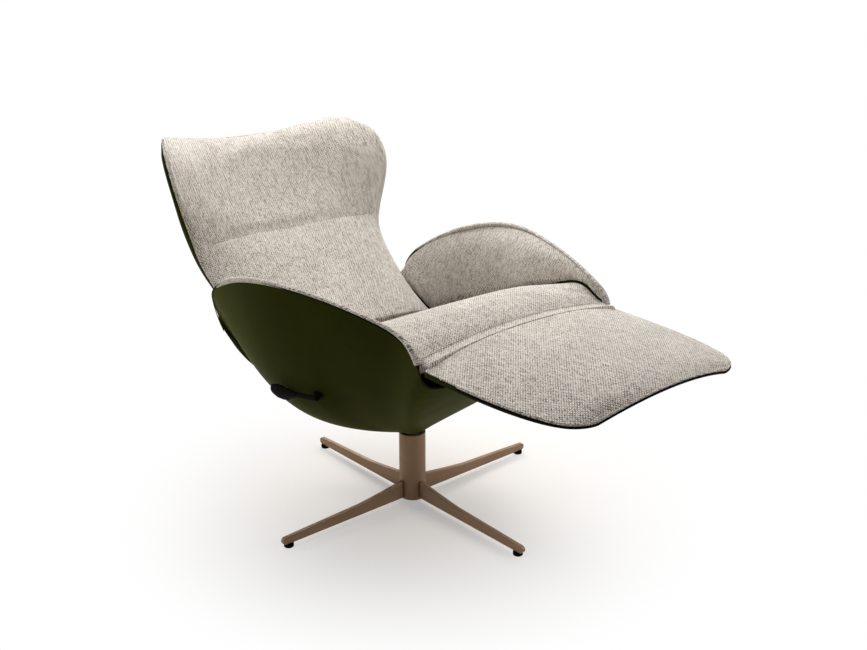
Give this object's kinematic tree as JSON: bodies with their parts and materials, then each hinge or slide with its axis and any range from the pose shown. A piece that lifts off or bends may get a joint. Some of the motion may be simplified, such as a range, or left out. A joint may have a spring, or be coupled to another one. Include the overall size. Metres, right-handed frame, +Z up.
{
  "type": "star base swivel recliner",
  "caption": "Upholstered swivel recliner: bucket seat with arms, tilting back, fold-up footrest, gas spring, side lever and flat-legged star base.",
  "frame": {"origin": "on the floor, under the swivel axis", "axes": "+Z up along the swivel axis; -Y the way the sitter faces, towards the footrest; +X the sitter's left. Stored reclined, with the footrest raised."},
  "size_m": [0.74, 1.3995, 0.8015],
  "materials": {
    "fabric": "coarse two-tone weave",
    "leather": "smooth dark olive",
    "bronze": "satin bronze powder coat",
    "steel": "plain steel",
    "black": "matte black",
    "board": "plywood"
  },
  "bodies": {
    "base": {"column": "bronze", "column_plug": "black", "thrust_washer": "steel", "lower_bush": "black", "upper_bush": "black", "leg_left": "bronze", "glide_left": "black", "leg_rear": "bronze", "glide_rear": "black", "leg_right": "bronze", "glide_right": "black", "leg_front": "bronze", "glide_front": "black"},
    "seat": {"bucket_shell": "leather", "arm_pad_left": "fabric", "arm_pad_right": "fabric", "seat_cushion": "fabric", "seat_board": "board", "spindle": "steel", "seat_plate": "steel", "plate_bolt_1": "steel", "plate_bolt_2": "steel", "plate_bolt_3": "steel", "plate_bolt_4": "steel", "side_rail_left": "steel", "side_rail_right": "steel", "footrest_pin_left": "steel", "footrest_pin_right": "steel", "back_pin_left": "steel", "back_pin_right": "steel", "front_cross_tube": "steel", "spring_pin": "steel", "hinge_strip": "fabric", "lever_bush": "black", "release_cable": "black"},
    "back": {"back_shell": "leather", "back_cushion": "fabric", "back_board": "board", "back_bracket_left": "steel", "back_bracket_right": "steel", "back_cross_rod": "steel"},
    "footrest": {"footrest_pad": "fabric", "footrest_shell": "leather", "footrest_arm_left": "steel", "footrest_arm_right": "steel"},
    "gas_rod": {"gas_spring_rod": "steel"},
    "gas_tube": {"gas_spring_cylinder": "black"},
    "lever": {"release_lever": "black"}
  },
  "joints": [
    {"name": "swivel", "type": "hinge", "parent": "base", "child": "seat", "pos_m": [0, 0, 0.17], "axis": [0, 0, 1], "continuous": true},
    {"name": "back_recline", "type": "hinge", "parent": "seat", "child": "back", "pos_m": [0, 0.24, 0.335], "axis": [1, 0, 0], "range_deg": [0, 32]},
    {"name": "footrest_fold", "type": "hinge", "parent": "seat", "child": "footrest", "pos_m": [0, -0.352, 0.473], "axis": [1, 0, 0], "range_deg": [0, 96]},
    {"name": "gas_spring_turn", "type": "hinge", "parent": "seat", "child": "gas_rod", "pos_m": [0, -0.18, 0.345], "axis": [1, 0, 0], "range_deg": [0, 0.506]},
    {"name": "gas_spring_stroke", "type": "slide", "parent": "gas_rod", "child": "gas_tube", "axis": [0, 0.9892, -0.1466], "range_m": [0, 0.02853]},
    {"name": "release", "type": "hinge", "parent": "seat", "child": "lever", "pos_m": [-0.26894, -0.01401, 0.341], "axis": [0.8508, 0.2323, 0.4714], "range_deg": [0, 12], "stiffness_Nm_per_rad": 3}
  ],
  "couplings": [
    {"joint": "footrest_fold", "follows": "back_recline", "ratio": 3},
    {"joint": "gas_spring_turn", "follows": "back_recline", "ratio": 0.0158},
    {"joint": "gas_spring_stroke", "follows": "back_recline", "m_per_rad": 0.05108}
  ]
}
